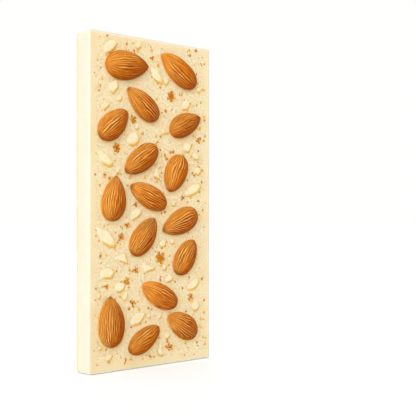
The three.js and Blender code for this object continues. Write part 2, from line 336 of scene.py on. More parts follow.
def chocolate_material():
    """Smooth cream, with painted shade in the grooves and painted highlights along the rims on the
    moulded side. The poured face is sandy inside its margins, with painted light round the almonds
    against the shade where they meet it, and a painted shadow round the nuts, most at their lower
    right."""
    n = Nodes("white_chocolate")
    place = n.place()
    sandy = n.attribute("sandy")

    cloud = n.spread(n.noise(place, 9, 3), 0.35, 0.65)
    smooth = n.mix(cloud, colour(250, 237, 216), colour(252, 240, 222))
    # Painted shade, darker and yellower, in the moulded grooves, and a painted highlight along the
    # rims of the rectangles.
    tile = n.mix(n.attribute("painted_groove_shade"), colour(252, 239, 200), colour(245, 226, 170))
    tile = n.mix(n.attribute("painted_rim_highlight"), tile, colour(255, 247, 216))
    smooth = n.mix(n.attribute("moulded"), smooth, tile)
    poured = n.mix(cloud, colour(241, 223, 178), colour(244, 229, 189))
    base = n.mix(n.attribute("face"), smooth, poured)

    mottle = n.spread(n.noise(place, 1.1, 3, 0.65), 0.34, 0.66)
    sand = n.mix(mottle, colour(233, 209, 148), colour(252, 246, 222))
    pits = n.spread(n.noise(place, 0.55, 2, 0.6), 0.585, 0.73)
    sand = n.mix(pits, sand, colour(236, 201, 134))
    base = n.mix(sandy, base, sand)
    # Painted light: paler round each almond, against the shade where it meets the face.
    base = n.mix(n.spread(n.attribute("contact_ring"), 0, 1, 0, 0.6), base, colour(255, 241, 200))
    # Painted shadow: warmer and darker round the nuts, flakes and clusters, most at their lower
    # right.
    base = n.mix(n.attribute("painted_shadow"), base, colour(241, 210, 143))

    grain = n.bump(n.noise(place, 0.8, 3, 0.65), 0.09)
    waves = n.bump(n.noise(place, 2.5, 3), 0.06)
    return n.finish(
        Base_Color=base,
        Roughness=n.spread(sandy, 0, 1, 0.3, 0.55),
        Normal=n.mix_vectors(sandy, waves, grain),
        Subsurface_Weight=0.6,
        Subsurface_Radius=(1.0, 0.75, 0.45),
        Subsurface_Scale=1.6 * MM,
        Specular_IOR_Level=0.45,
        IOR=1.46,
    )


def almond_material():
    """Brown skin with a dark tip, darker in the grooves along the kernel and paler on the ridges,
    partly its own colour and partly painted shade and painted highlight. Painted shade darkens the
    side that faces one way and painted light pales the other, and painted light pales the skin where
    it meets the chocolate."""
    n = Nodes("almond_skin")
    skin = n.attribute("skin", "Vector")
    groove = n.attribute("groove")
    painted_side_shade = n.attribute("painted_side_shade")

    streaks = n.spread(n.texture(skin, 2.6, 4.0, 0.62), 0.36, 0.64)
    plain = n.mix(streaks, colour(206, 92, 0), colour(255, 160, 18))
    crest = n.mix(streaks, colour(255, 182, 74), colour(255, 236, 174))
    deep = n.mix(streaks, colour(118, 44, 0), colour(164, 72, 2))
    # Darker in the grooves and paler on the crests: partly the skin's own colour, partly painted
    # shade and painted highlight.
    base = n.mix(n.spread(groove, -0.08, -0.9 * CREST), plain, crest)
    base = n.mix(n.spread(groove, 0.0, 0.75), base, deep)
    base = n.mix(n.attribute("tint"), base, colour(228, 221, 202), "MULTIPLY")
    # Painted light pales the side facing away from the painted shade, and painted shade darkens the
    # side that faces one way.
    base = n.mix(n.spread(painted_side_shade, 0, 0.5, 0.16, 0), base, colour(255, 212, 112))
    base = n.mix(n.spread(painted_side_shade, 0, 1, 0, 0.7), base, colour(150, 66, 0))
    base = n.mix(n.spread(n.attribute("tip"), 0, 1, 0, 0.55), base, colour(116, 52, 6))
    # Painted light: paler where the skin meets the chocolate, against the shade of the crease.
    base = n.mix(n.spread(n.attribute("painted_bounce_light"), 0, 1, 0, 0.5), base, colour(255, 212, 124))

    return n.finish(
        Base_Color=base,
        Roughness=n.spread(groove, 0, 1, 0.42, 0.7),
        Normal=n.bump(n.texture(skin, 5.0, 3.0, 0.6), 0.1, 0.8),
        Specular_IOR_Level=0.05,
    )


def flake_material():
    """Pale blanched almond, with painted shade on its lower right sides."""
    n = Nodes("blanched_almond")
    grain = n.noise(n.place(), 1.4, 3, 0.6)
    flesh = n.mix(n.spread(grain, 0.35, 0.65), colour(247, 228, 183), colour(253, 241, 209))
    # Painted shade on the lower right rims, carried by the tint.
    base = n.mix(n.attribute("tint"), flesh, colour(242, 200, 96))
    return n.finish(
        Base_Color=base,
        Roughness=0.45,
        Normal=n.bump(grain, 0.12, 0.7),
        Subsurface_Weight=0.2,
        Subsurface_Radius=(1.0, 0.7, 0.4),
        Subsurface_Scale=1.0 * MM,
        Specular_IOR_Level=0.35,
    )


def crumb_material(name, dark, light):
    """Crumb or dust, each grain with its own tint from dark to light."""
    n = Nodes(name)
    grain = n.noise(n.place(), 0.5)
    tint_share = n.math("MULTIPLY", n.attribute("tint"), 0.7)
    shade = n.math("ADD", tint_share, n.math("MULTIPLY", grain, 0.4))
    base = n.mix(n.spread(shade, 0.15, 0.9), dark, light)
    return n.finish(
        Base_Color=base,
        Roughness=0.6,
        Normal=n.bump(grain, 0.1, 0.6),
        Subsurface_Weight=0.05,
        Subsurface_Radius=(1.0, 0.7, 0.4),
        Subsurface_Scale=0.5 * MM,
        Specular_IOR_Level=0.1,
    )


# ----------------------------------------------------------
# Whole almonds


OUTLINE_POINTS = 96
UP_TO_ENDS = 0.97  # the taper is read from the points of a solid that lie nearer the middle


class Kernel:
    """An almond's place, size and taper, read from its solid in the frame."""

    def __init__(self, node):
        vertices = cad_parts[node].data.vertices
        points = np.array([v.co for v in vertices]) / MM
        centre = points.mean(0)
        first = points[np.argmax(np.linalg.norm(points - centre, axis=1))]
        second = points[np.argmax(np.linalg.norm(points - first, axis=1))]
        self.centre = (first + second) / 2
        self.half_length = np.linalg.norm(first - second) / 2
        self.along = (first - second) / (2 * self.half_length)
        if (points - self.centre).mean(0) @ self.along > 0:
            self.along = -self.along
        self.across = np.cross(self.along, INWARD)
        offset = points - self.centre
        share = offset @ self.along / self.half_length
        self.half_width = np.abs(offset @ self.across).max()
        self.half_depth = np.abs(offset[:, 1]).max()
        radius = np.hypot(offset @ self.across / self.half_width, offset[:, 1] / self.half_depth)
        ring = np.abs(share) < UP_TO_ENDS
        terms = [np.ones(ring.sum()), np.log(1 + share[ring]), np.log(1 - share[ring])]
        self.fit = np.linalg.lstsq(np.stack(terms, 1), np.log(radius[ring]), rcond=None)[0]

    def radius(self, share):
        """How wide the kernel is at a share of its half length, tip at +1, against its widest."""
        size, blunt, sharp = self.fit
        inside = np.clip(share, -1, 1)
        return math.exp(size) * (1 + inside) ** blunt * (1 - inside) ** sharp

    def outline(self):
        """Where the kernel's skin meets the poured face, as (x, z) points."""
        share = -np.cos(np.linspace(0, math.pi, OUTLINE_POINTS // 2 + 1))
        lift = abs(self.centre[1] - FRONT) / self.half_depth
        radius = self.radius(share)
        half = self.half_width * np.sqrt(np.clip(radius**2 - lift**2, 0, None))
        spine = self.centre + share[:, None] * self.half_length * self.along
        up = spine + half[:, None] * self.across
        down = spine - half[:, None] * self.across
        return np.concatenate([up, down[::-1]])[:, [0, 2]]

    def covers(self, x, z, margin=0.0):
        """Whether places on the face lie under the kernel or within margin of it."""
        offset = np.stack([x - self.centre[0], z - self.centre[2]], -1)
        share = offset @ self.along[[0, 2]] / (self.half_length + margin)
        side = np.abs(offset @ self.across[[0, 2]])
        return (np.abs(share) < 1) & (side < self.half_width * self.radius(share) + margin)


KERNELS = [Kernel(node) for node in ALMOND_NODES]

KERNEL_SEED = 100
KERNEL_RINGS = 76
KERNEL_SIDES = 168
KERNEL_CROWDING = 0.4  # how much closer the sides of a kernel's mesh lie on its outer half
SKIN_LIFT = 0.08  # how far the skin lies over the solid
BULGE = 0.22  # how far low bulges stand out
BOW = 0.35  # how far a kernel's middle may lie aside
GROOVE_SPACING = 1.09
GROOVE_DEPTH = 0.25
GROOVE_WIDTH = 0.3  # from its middle to its edge, against the spacing
CLOSE_COUNT = 1.45  # how many more grooves the closer of the two sets has
CLOSE_WIDTH = 0.32
CLOSE_DRIFT = 1.3  # how much more its grooves wander
# How grooves wander: how far, how fast it changes around and along, and where the noise starts.
DRIFTS = [(0.9, 0.8, 0.5, 0.0), (0.4, 2.4, 1.6, 3.0), (0.25, 5.0, 3.5, 18.0)]
WRINKLE_WIDTH = 0.14
NOISE_STEP = 17.0  # between the noise of one kernel and the next
SKIN_STRETCH = (3.0, 3.0, 1.0)  # streaks run this much finer around a kernel than along it
PAINTED_SHADE_SIDE = np.array((0.85, 0.0, -0.45))  # the way that the side of the skins with painted shade faces
BLUNT_DARKNESS = 0.3  # of the blunt end against the tip
NIB_RADIUS = 0.4  # of the dark stub at a kernel's tip
NIB_LENGTH = 0.35  # how far the stub stands out of the solid's tip


def furrows(count, turn, drift, width):
    """Where count grooves run along a kernel: 1 down in a groove, and -CREST on a crest."""
    phase = count * turn / (2 * math.pi) + drift
    gap = np.abs(phase - np.round(phase))
    closeness = np.gradient(phase, axis=1) / np.gradient(turn, axis=1) * 2 * math.pi / count
    depth = smoothstep(0.1, 0.8, np.abs(closeness))  # fading where drift pulls grooves apart
    return depth * (1 - smoothstep(0.0, width, gap) - CREST * smoothstep(width, 0.5, gap))


def kernel_grooves(kernel, share, turn, shift):
    """Grooves along a kernel that wander, fork where two sets meet, and fade in places, its low
    bulges, and the places on a unit cylinder that the noise is read at."""
    ring = np.stack([np.cos(turn), np.sin(turn), share], -1).reshape(-1, 3)

    def field(around, along, offset):
        return noise_at(ring * (around, around, along) + shift, 1.0, offset).reshape(turn.shape)

    wide, deep = kernel.half_width, kernel.half_depth
    girth = math.pi * (1.5 * (wide + deep) - math.sqrt(wide * deep))
    drift = sum(reach * field(around, along, offset) for reach, around, along, offset in DRIFTS)
    set_share = field(1.5, 0.8, 6.0)  # the closer set where it is low, the wider one where high
    depth = field(2.4, 1.3, 9.0)
    coarse = furrows(round(girth / GROOVE_SPACING), turn, drift, GROOVE_WIDTH)
    coarse *= smoothstep(-0.35, 0.05, set_share) * np.clip(0.8 + 0.7 * depth, 0.3, 1)
    close_count = round(CLOSE_COUNT * girth / GROOVE_SPACING)
    close = furrows(close_count, turn, CLOSE_DRIFT * drift, CLOSE_WIDTH)
    close *= smoothstep(0.1, -0.2, set_share) * np.clip(0.65 + 0.7 * depth, 0.25, 1)
    wrinkle = 1 - smoothstep(0.0, WRINKLE_WIDTH, np.abs(field(6.5, 2.6, 12.0)))
    wrinkle *= np.clip(0.15 - 0.8 * depth, 0, 0.4)
    groove = np.where(np.abs(close) > np.abs(coarse), close, coarse)
    groove = np.maximum(groove, wrinkle - CREST)
    return groove, field(1.0, 1.1, 15.0), ring


def kernel_faces(count):
    """Quads between rings of count vertices in all, and triangles to the two ends after them."""
    faces = []
    for low in range(0, count - KERNEL_SIDES, KERNEL_SIDES):
        high = low + KERNEL_SIDES
        for side in range(KERNEL_SIDES):
            after = (side + 1) % KERNEL_SIDES
            faces.append((low + side, high + side, high + after, low + after))
    blunt_end, tip_end = count, count + 1
    last = count - KERNEL_SIDES
    for side in range(KERNEL_SIDES):
        after = (side + 1) % KERNEL_SIDES
        faces.append((blunt_end, side, after))
        faces.append((tip_end, last + after, last + side))
    return faces


def build_almond(node, kernel, number, material):
    """A fine kernel over the plain solid, its skin wrinkled into grooves that meet at the tip."""
    draw = random.Random(KERNEL_SEED + number)
    shift = (NOISE_STEP * number, 0, 0)
    share = -np.cos(np.linspace(0, math.pi, KERNEL_RINGS + 1))[1:-1]
    even = np.linspace(0, 2 * math.pi, KERNEL_SIDES, endpoint=False)
    turn = even - KERNEL_CROWDING * np.cos(even)
    share_grid, turn_grid = np.meshgrid(share, turn, indexing="ij")
    cos, sin = np.cos(turn_grid), np.sin(turn_grid)
    brown, strength = SKINS[number - 1]
    groove, bulk, ring = kernel_grooves(kernel, share_grid, turn_grid, shift)
    groove *= strength
    fade = smoothstep(-1.0, -0.86, share_grid) * smoothstep(1.0, 0.93, share_grid)

    lift = (SKIN_LIFT - GROOVE_DEPTH * groove + BULGE * bulk) * fade
    taper = kernel.radius(share_grid)
    nib = NIB_RADIUS * smoothstep(0.9, 0.98, share_grid)
    width = np.hypot(kernel.half_width * taper + lift, nib)
    depth = np.hypot(kernel.half_depth * taper + lift, nib)
    bow = draw.uniform(-BOW, BOW) * (1 - share_grid**2)
    spine = kernel.centre + share_grid[..., None] * kernel.half_length * kernel.along
    body = (
        spine
        + (width * cos + bow)[..., None] * kernel.across
        + (depth * sin)[..., None] * INWARD
    ).reshape(-1, 3)
    reaches = (-kernel.half_length, kernel.half_length + NIB_LENGTH)
    ends = kernel.centre + np.outer(reaches, kernel.along)
    vertices = np.concatenate([body, ends])

    skin = np.concatenate([ring, [(0, 0, -1), (0, 0, 1)]]) * SKIN_STRETCH + shift
    tip = smoothstep(0.87, 1.0, share_grid)
    tip = tip + BLUNT_DARKNESS * smoothstep(-0.93, -1.0, share_grid)
    facing = (
        (share_grid / kernel.half_length)[..., None] * kernel.along
        + (taper * cos / kernel.half_width)[..., None] * kernel.across
        + (taper * sin / kernel.half_depth)[..., None] * INWARD
    )
    facing /= np.linalg.norm(facing, axis=2, keepdims=True)
    height = FRONT - body[:, 1].reshape(share_grid.shape)
    # Painted shade on the side of each kernel that faces one way, with less of it low down by the
    # chocolate.
    painted_side_shade = smoothstep(-0.35, 0.5, facing @ PAINTED_SHADE_SIDE)
    painted_side_shade = painted_side_shade * (1 - 0.4 * smoothstep(2.4, 0.4, height))

    def with_ends(grid, blunt, sharp):
        return np.concatenate([grid.ravel(), [blunt, sharp]])

    attributes = {
        "skin": skin,
        "groove": with_ends(groove * fade, 0, 0),
        "tip": with_ends(tip, BLUNT_DARKNESS, 1),
        "painted_side_shade": with_ends(painted_side_shade, 0.5, 0.5),
        "tint": np.full(len(vertices), brown),
        # painted light on the low band of the skin by the chocolate
        "painted_bounce_light": with_ends(smoothstep(0.9, 0.3, height), 0, 0),
    }
    faces = kernel_faces(len(body))
    piece = add_mesh(f"kernel_{number:02d}", vertices, faces, material, attributes)
    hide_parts(node)


# ----------------------------------------------------------
# The chocolate


# Steps of the bar's grid: on the bevels, and between them across and up the bar.
BEVEL_STEP = 0.4
STEP_ACROSS = 0.66
STEP_UP = 0.68
PAST_BEVEL = 0.9  # how far past a bevel its steps go on
# Further lines of the grid, this far in from the bar's sides and faces.
SIDE_LINES = np.array([0.12, 0.26, 0.62])
FRONT_LINES = np.array([0, 0.12, 0.3, 0.56, 0.9])
BACK_LINES = np.array([0.5, 0.2, 0.0])
DEPTH_RANGE = (1.2, 1.0)  # the even lines begin and end this far in from the two faces
DEPTH_COUNT = 8

GROOVE_ROUNDING = 0.4
VALLEY_SOFTNESS = 0.5
RIM_SOFTNESS = 0.6
RIM_RISE = 0.02  # makes up for the height that the soft rim takes off

# Low waves of the poured face: how high, how long, and where the noise starts.
FACE_WAVES = [(0.16, 13.0, 0.0), (0.10, 4.0, 5.0)]
WAVES_FROM_EDGE = 4.0  # how far in from the edges they have risen in full
COLLAR = 0.24  # how far the chocolate is drawn up round an almond
CONTACT_LIGHT_REACH = 1.2  # how far out round an almond the face is painted paler, against the shade where they meet
BED_DEPTH = 1.2  # how far the face sinks under an almond, and over what width
BED_SLOPE = 1.5
NEAR_ALMOND = 6.0  # farther from its ends than this, an almond changes nothing

# Painted shadow round the nuts, flakes and clusters, warm and mostly at their lower right.
SHADOW_REACH = 2.0  # how far the painted shadow round a nut reaches
SHADOW_DRIFT = 1.1  # how much farther it reaches towards the right
SHADOW_LEAST = 0.04  # how strong it is at the upper left of a nut
SHADOW_LOWER_RIGHT = 0.86  # and how much stronger at the lower right
SHADOW_UNDER_ALMOND = 0.5
SHADOW_OF_FLAKES = 0.45
SHADOW_OF_CLUSTERS = 0.7
SMALL_NARROWING = 1.5  # how much less far the painted shadow of flakes and clusters reaches


def grid_lines(start, pitches, pitch, coarse):
    """Grid lines over a row of moulded rectangles, closer together on the bevels."""
    fine = np.arange(0, TILE_BEVEL + PAST_BEVEL, BEVEL_STEP)
    count = round((pitch - 2 * fine[-1]) / coarse)
    middle = np.linspace(fine[-1], pitch - fine[-1], count + 1)[1:-1]
    one = np.concatenate([fine, middle, (pitch - fine)[::-1]])
    lines = np.concatenate([start + index * pitch + one for index in range(pitches)])
    sides = (start + SIDE_LINES, start + pitches * pitch - SIDE_LINES)
    return np.unique(np.round(np.concatenate([lines, *sides]), 4))


def box_surface(xs, ys, zs):
    """The surface of a box as a grid, as (vertices, quads) with the quads facing outwards."""
    vertices = []
    quads = []
    start = 0
    for axis, lines in enumerate((xs, ys, zs)):
        others = [line for index, line in enumerate((xs, ys, zs)) if index != axis]
        for end in (0, -1):
            parts = list(np.meshgrid(*others, indexing="ij"))
            parts.insert(axis, np.full(parts[0].shape, lines[end]))
            rows, columns = parts[0].shape
            index = start + np.arange(rows * columns).reshape(rows, columns)
            corners = [index[:-1, :-1], index[1:, :-1], index[1:, 1:], index[:-1, 1:]]
            outward = (end == -1) != (axis == 1)  # whether these corners run round outwards
            quad = [corner.ravel() for corner in (corners if outward else corners[::-1])]
            vertices.append(np.stack(parts, -1).reshape(-1, 3))
            quads.append(np.stack(quad, -1))
            start += rows * columns
    vertices = np.concatenate(vertices)
    # The six sides of the box share the places along its edges.
    places = np.round(vertices, 3)
    _, first, back = np.unique(places, axis=0, return_index=True, return_inverse=True)
    return vertices[first], back.reshape(-1)[np.concatenate(quads)]


def round_off(inset, depth, radius):
    """Moves places at a sharp edge, given by how far in and how deep they lie, to a round one."""
    inner_inset, inner_depth = np.maximum(inset, radius), np.maximum(depth, radius)
    out_inset, out_depth = inset - inner_inset, depth - inner_depth
    reach = np.hypot(out_inset, out_depth)
    scale = np.where(reach > TINY, radius / np.maximum(reach, TINY), 1)
    return inner_inset + out_inset * scale, inner_depth + out_depth * scale


def round_bar(points):
    """Moves the surface of the sharp slab onto one with round corners and round edges."""
    x, y, z = points.T
    corner = CORNER_FRONT + (CORNER_BACK - CORNER_FRONT) * (y - FRONT) / SLAB_DEPTH
    inner_x = np.clip(x, LEFT + corner, RIGHT - corner)
    inner_z = np.clip(z, corner, LENGTH - corner)
    inner = np.stack([inner_x, inner_z])
    out = np.stack([x, z]) - inner
    away = out / np.maximum(np.hypot(*out), TINY)
    inset = edge_distance(x, z)
    flat = inner + away * np.maximum(corner - inset, 0)

    front_inset, front_depth = round_off(inset, y - FRONT, FRONT_ROUNDING)
    back_inset, back_depth = round_off(inset, BACK - y, BACK_ROUNDING)
    moved = front_inset + back_inset - 2 * inset
    flat = flat - away * moved
    return np.stack([flat[0], FRONT + front_depth - (back_depth - (BACK - y)), flat[1]], -1)


def tile_relief(x, z):
    """Height of the moulded rectangles above the bottom of the grooves."""
    slope = TILE_HEIGHT / TILE_BEVEL

    def rise(place, start, pitch):
        into = np.mod(place - start, pitch)
        distance = np.minimum(into, pitch - into)
        return np.hypot(slope * distance, GROOVE_ROUNDING) - GROOVE_ROUNDING

    bevel = soft_min(rise(x, LEFT, PITCH_X), rise(z, 0, PITCH_Z), VALLEY_SOFTNESS)
    return np.maximum(soft_min(bevel, TILE_HEIGHT + RIM_RISE, RIM_SOFTNESS), 0)


def painted_shadow_at(gap, across, up):
    """How strong the painted shadow is at a gap from a nut: most at its lower right."""
    away = np.maximum(np.hypot(across, up), TINY)
    across, up = across / away, up / away
    reach = SHADOW_REACH * (1 + SHADOW_DRIFT * np.maximum(across, 0))
    lower_right = smoothstep(-0.3, 0.6, (across - up) / math.sqrt(2))
    return np.exp(-((gap / reach) ** 2)) * (SHADOW_LEAST + SHADOW_LOWER_RIGHT * lower_right)


def face_relief(x, z):
    """How far the poured face stands out, how near it is to an almond, which sets its painted light,
    and how much painted shadow lies on it.
    """
    points = np.stack([x, np.zeros_like(x), z], -1)
    relief = sum(height * noise_at(points, size, offset) for height, size, offset in FACE_WAVES)
    painted_shadow = np.zeros_like(x)
    painted_contact_light = np.zeros_like(x)
    for kernel in KERNELS:
        outline = kernel.outline()
        away = np.hypot(x - kernel.centre[0], z - kernel.centre[2])
        near = away < kernel.half_length + NEAR_ALMOND
        across = x[near, None] - outline[None, :, 0]
        up = z[near, None] - outline[None, :, 1]
        gaps = np.hypot(across, up)
        closest = (np.arange(len(gaps)), gaps.argmin(1))
        gap = gaps[closest]
        under = kernel.covers(x[near], z[near])
        contact_ring = COLLAR * np.exp(-(gap**2))
        relief[near] += np.where(under, COLLAR - smoothstep(0, BED_SLOPE, gap) * BED_DEPTH, contact_ring)
        # painted light round the almond, against the shade where it meets the face
        pale = np.where(under, 1, np.exp(-((gap / CONTACT_LIGHT_REACH) ** 2)))
        painted_contact_light[near] = np.maximum(painted_contact_light[near], pale)
        shadow_share = painted_shadow_at(gap, across[closest], up[closest])
        painted_shadow[near] = np.maximum(painted_shadow[near], np.where(under, SHADOW_UNDER_ALMOND, shadow_share))
    # Painted shadow round the flakes and clusters too.
    for _, flake_x, flake_z, length, width, turn in FLAKES:
        across, up = x - flake_x, z - flake_z
        cos, sin = math.cos(math.radians(turn)), math.sin(math.radians(turn))
        along_share = (across * cos + up * sin) * 2 / length
        side_share = (up * cos - across * sin) * 2 / width
        share = np.maximum(np.hypot(along_share, side_share), TINY)
        gap = np.maximum(1 - 1 / share, 0) * np.hypot(across, up)
        shadow_share = painted_shadow_at(SMALL_NARROWING * gap, across, up)
        painted_shadow = np.maximum(painted_shadow, SHADOW_OF_FLAKES * shadow_share)
    for cluster_x, cluster_z, spread, _ in CLUSTERS:
        across, up = x - cluster_x, z - cluster_z
        gap = np.maximum(np.hypot(across, up) - spread, 0)
        shadow_share = painted_shadow_at(SMALL_NARROWING * gap, across, up)
        painted_shadow = np.maximum(painted_shadow, SHADOW_OF_CLUSTERS * shadow_share)
    relief = relief * smoothstep(FRONT_ROUNDING, WAVES_FROM_EDGE, edge_distance(x, z))
    return relief, painted_contact_light, painted_shadow


def sandiness(vertices):
    """Where the poured face is sandy: 1 inside its margins, 0 outside them."""
    x, z = vertices[:, 0], vertices[:, 2]
    wander = MARGIN_WANDER * noise_at(vertices, MARGIN_WAVES, 2.0)

    def inside(margin, fade, distance):
        return smoothstep(margin - fade[0], margin + fade[1], distance + wander)

    return np.minimum.reduce(
        [
            inside(MARGIN_SIDE, MARGIN_FADE, x - LEFT),
            inside(MARGIN_SIDE, MARGIN_FADE, RIGHT - x),
            inside(MARGIN_BOTTOM, MARGIN_FADE, z),
            inside(MARGIN_TOP, MARGIN_FADE_TOP, LENGTH - z),
        ]
    )


def build_chocolate(material):
    """One closed mesh: the slab, its poured face and its moulded back."""
    xs = grid_lines(LEFT, COLUMNS, PITCH_X, STEP_ACROSS)
    zs = grid_lines(0, ROWS, PITCH_Z, STEP_UP)
    depth = np.linspace(FRONT + DEPTH_RANGE[0], BACK - DEPTH_RANGE[1], DEPTH_COUNT)
    ys = np.concatenate([FRONT + FRONT_LINES, depth, BACK - BACK_LINES])
    vertices, faces = box_surface(xs, ys, zs)
    x, y, z = vertices.T
    on_front = np.abs(y - FRONT) < TINY
    on_back = np.abs(y - BACK) < TINY
    relief = np.zeros(len(vertices))
    painted_contact_light = np.zeros(len(vertices))
    painted_shadow = np.zeros(len(vertices))
    height, painted_contact_light[on_front], painted_shadow[on_front] = face_relief(x[on_front], z[on_front])
    relief[on_front] = -height
    relief[on_back] = tile_relief(x[on_back], z[on_back])
    raised = relief / TILE_HEIGHT
    attributes = {
        "face": on_front * smoothstep(0.2, 1.4, edge_distance(x, z)),
        "sandy": on_front * sandiness(vertices),
        "contact_ring": painted_contact_light,
        "painted_shadow": painted_shadow,
        "moulded": on_back * 1.0,
        # painted shade in the grooves and painted highlight on the rims of the moulded side
        "painted_groove_shade": on_back * smoothstep(0.9, 0.1, raised),
        "painted_rim_highlight": on_back * smoothstep(0.72, 0.86, raised) * smoothstep(0.995, 0.93, raised),
    }
    rounded = round_bar(vertices)
    rounded[:, 1] += relief
    name = "white_chocolate_bar"
    piece = add_mesh(name, rounded, faces, material, attributes)
    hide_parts("chocolate")


# ----------------------------------------------------------
# Small toppings


FLAKE_POINTS = 48
FLAKE_THICKNESS = 0.24  # against the width, between the two limits in millimetres
FLAKE_THIN = 0.45
FLAKE_THICK = 0.75
FLAKE_SLOPE = 0.75  # how far a flake's top sits to the upper left of its foot, in millimetres
FLAKE_CROWN = 1.07  # height of the middle of a flake's top against the thickness
FLAKE_STEPS = [
    # height against the thickness, share of the outline, share of the slope, painted shade on the
    # rim
    (-0.5, 1.0, 0.0, 1.0),
    (0.0, 1.0, 0.0, 1.0),
    (0.35, 0.985, 0.3, 1.0),
    (0.7, 0.95, 0.65, 1.0),
    (0.92, 0.92, 0.92, 1.0),
    (1.0, 0.87, 1.0, 1.0),
    (1.03, 0.78, 1.0, 0.15),
    (1.05, 0.50, 1.0, 0.0),
]
FLAKE_WAVES = [(0.03, 3), (0.02, 8)]  # of its edge: how high they are, and how many go round
TILT_ACROSS = 0.05  # how much thicker a flake may get to one side, for each millimetre
TILT_UP = 0.06
SHARD = ((1.0, -0.95), (0.67, 1.0), (-1.0, 0.33))
SPLINTER = tuple((x, -z) for x, z in SHARD[::-1])
WEDGE = ((1.0, 0.25), (0.5, 0.8), (-0.8, 1.0), (-1.0, -0.7), (0.6, -0.9))
MOON_FLATNESS = 0.45  # height of the flatter half of a moon against the other
LEAF_TAPER = 0.35  # how much narrower a leaf is towards its ends
CHIP_COUNTS = (4, 5, 5, 6)  # of corners
CHIP_REACH = 1.12
CHIP_UNEVENNESS = 0.22  # how far its corners stray, against the angle between them

# Each crumb is a ball, stretched and roughened by random shares.
CRUMB_STRETCH = (0.7, 1.25)
CRUMB_ROUGHNESS = (0.78, 1.18)
CRUMB_FLATNESS = 0.65  # how deep crumbs are against how wide
CRUMB_OUT = 0.05  # how far out of the face a single one's middle lies, against its size
CLUSTER_CRUMB = 0.62
CLUSTER_SIZES = (0.8, 1.15)  # random shares of that size
CLUSTER_LARGEST = 1.1  # the most that it is scaled by in a wide cluster
CLUSTER_REACHES = (0.9, 1.1)  # against the spread
CLUSTER_TINTS = (0.25, 0.75)
CLUSTER_OUT = 0.4  # how far out of the face their middles lie, against their size
FULL_CLUSTER = 8  # with more crumbs than this, every other one lies halfway in
UNDER_CRUMB = 1.3  # size of the browner crumb under another, against that one
# the crumb under another is tinted darker, as painted shade in the gaps between crumbs
GAP_SHADE_TINT = 0.1
UNDER_DEPTH = 0.05  # how far in its middle lies, against the other's size
DOT_COUNT = 300
DUST_COUNT = 4600
# The least size, how much larger the largest are, and a power that makes those rarer.
DOT_SIZES = (0.33, 0.46, 1.4)
DUST_SIZES = (0.14, 0.24, 2)
DOT_TINTS = (0.2, 1.0)
DUST_DARKENING = 1.2  # a power that makes darker dust more frequent
# How far they keep off the almonds, and how far they stray over the margins.
DOT_GAP, DOT_STRAY = 0.4, 1.4
DUST_GAP, DUST_STRAY = 0.1, 0.3
TOPPING_SEED = 5


def corner_reach(corners, angles):
    """How far from the middle a flat-sided outline lies at each angle."""
    reach = np.full(angles.shape, np.inf)
    for (x1, z1), (x2, z2) in zip(corners, corners[1:] + corners[:1]):
        slant = (z2 - z1) * np.cos(angles) - (x2 - x1) * np.sin(angles)
        away = (x1 * z2 - x2 * z1) / slant
        reach = np.where(away > 0, np.minimum(reach, away), reach)
    return reach


def flake_outline(kind, draw):
    """A flake's edge, inside a box that reaches about 1 each way."""
    angles = np.linspace(0, 2 * math.pi, FLAKE_POINTS, endpoint=False)
    across, up = np.cos(angles), np.sin(angles)
    corners = {"wedge": WEDGE, "shard": SHARD, "splinter": SPLINTER}.get(kind)
    if kind == "moon":
        up = np.where(up < 0, up, MOON_FLATNESS * up)
    if kind == "leaf":
        up = up * (1 - LEAF_TAPER * np.abs(across) ** 1.5)
    if kind == "chip":
        count = draw.choice(CHIP_COUNTS)
        strays = [draw.uniform(-CHIP_UNEVENNESS, CHIP_UNEVENNESS) for _ in range(count)]
        turns = [2 * math.pi * (i + stray) / count for i, stray in enumerate(strays)]
        corners = tuple((CHIP_REACH * math.cos(t), CHIP_REACH * math.sin(t)) for t in turns)
    if corners:
        across, up = corner_reach(corners, angles) * (across, up)
    waves = sum(high * np.sin(n * angles + draw.uniform(0, 6)) for high, n in FLAKE_WAVES)
    return across * (1 + waves), up * (1 + waves)


def flake_faces():
    """Triangles between a flake's steps, and to the middles of its foot and top after them."""
    count = FLAKE_POINTS
    last = (len(FLAKE_STEPS) - 1) * count
    faces = []
    for low in range(0, last, count):
        for i in range(count):
            j = (i + 1) % count
            faces.append((low + i, low + j, low + count + j))
            faces.append((low + i, low + count + j, low + count + i))
    bottom, top = last + count, last + count + 1
    for i in range(count):
        j = (i + 1) % count
        faces.append((bottom, j, i))
        faces.append((top, last + i, last + j))
    return faces


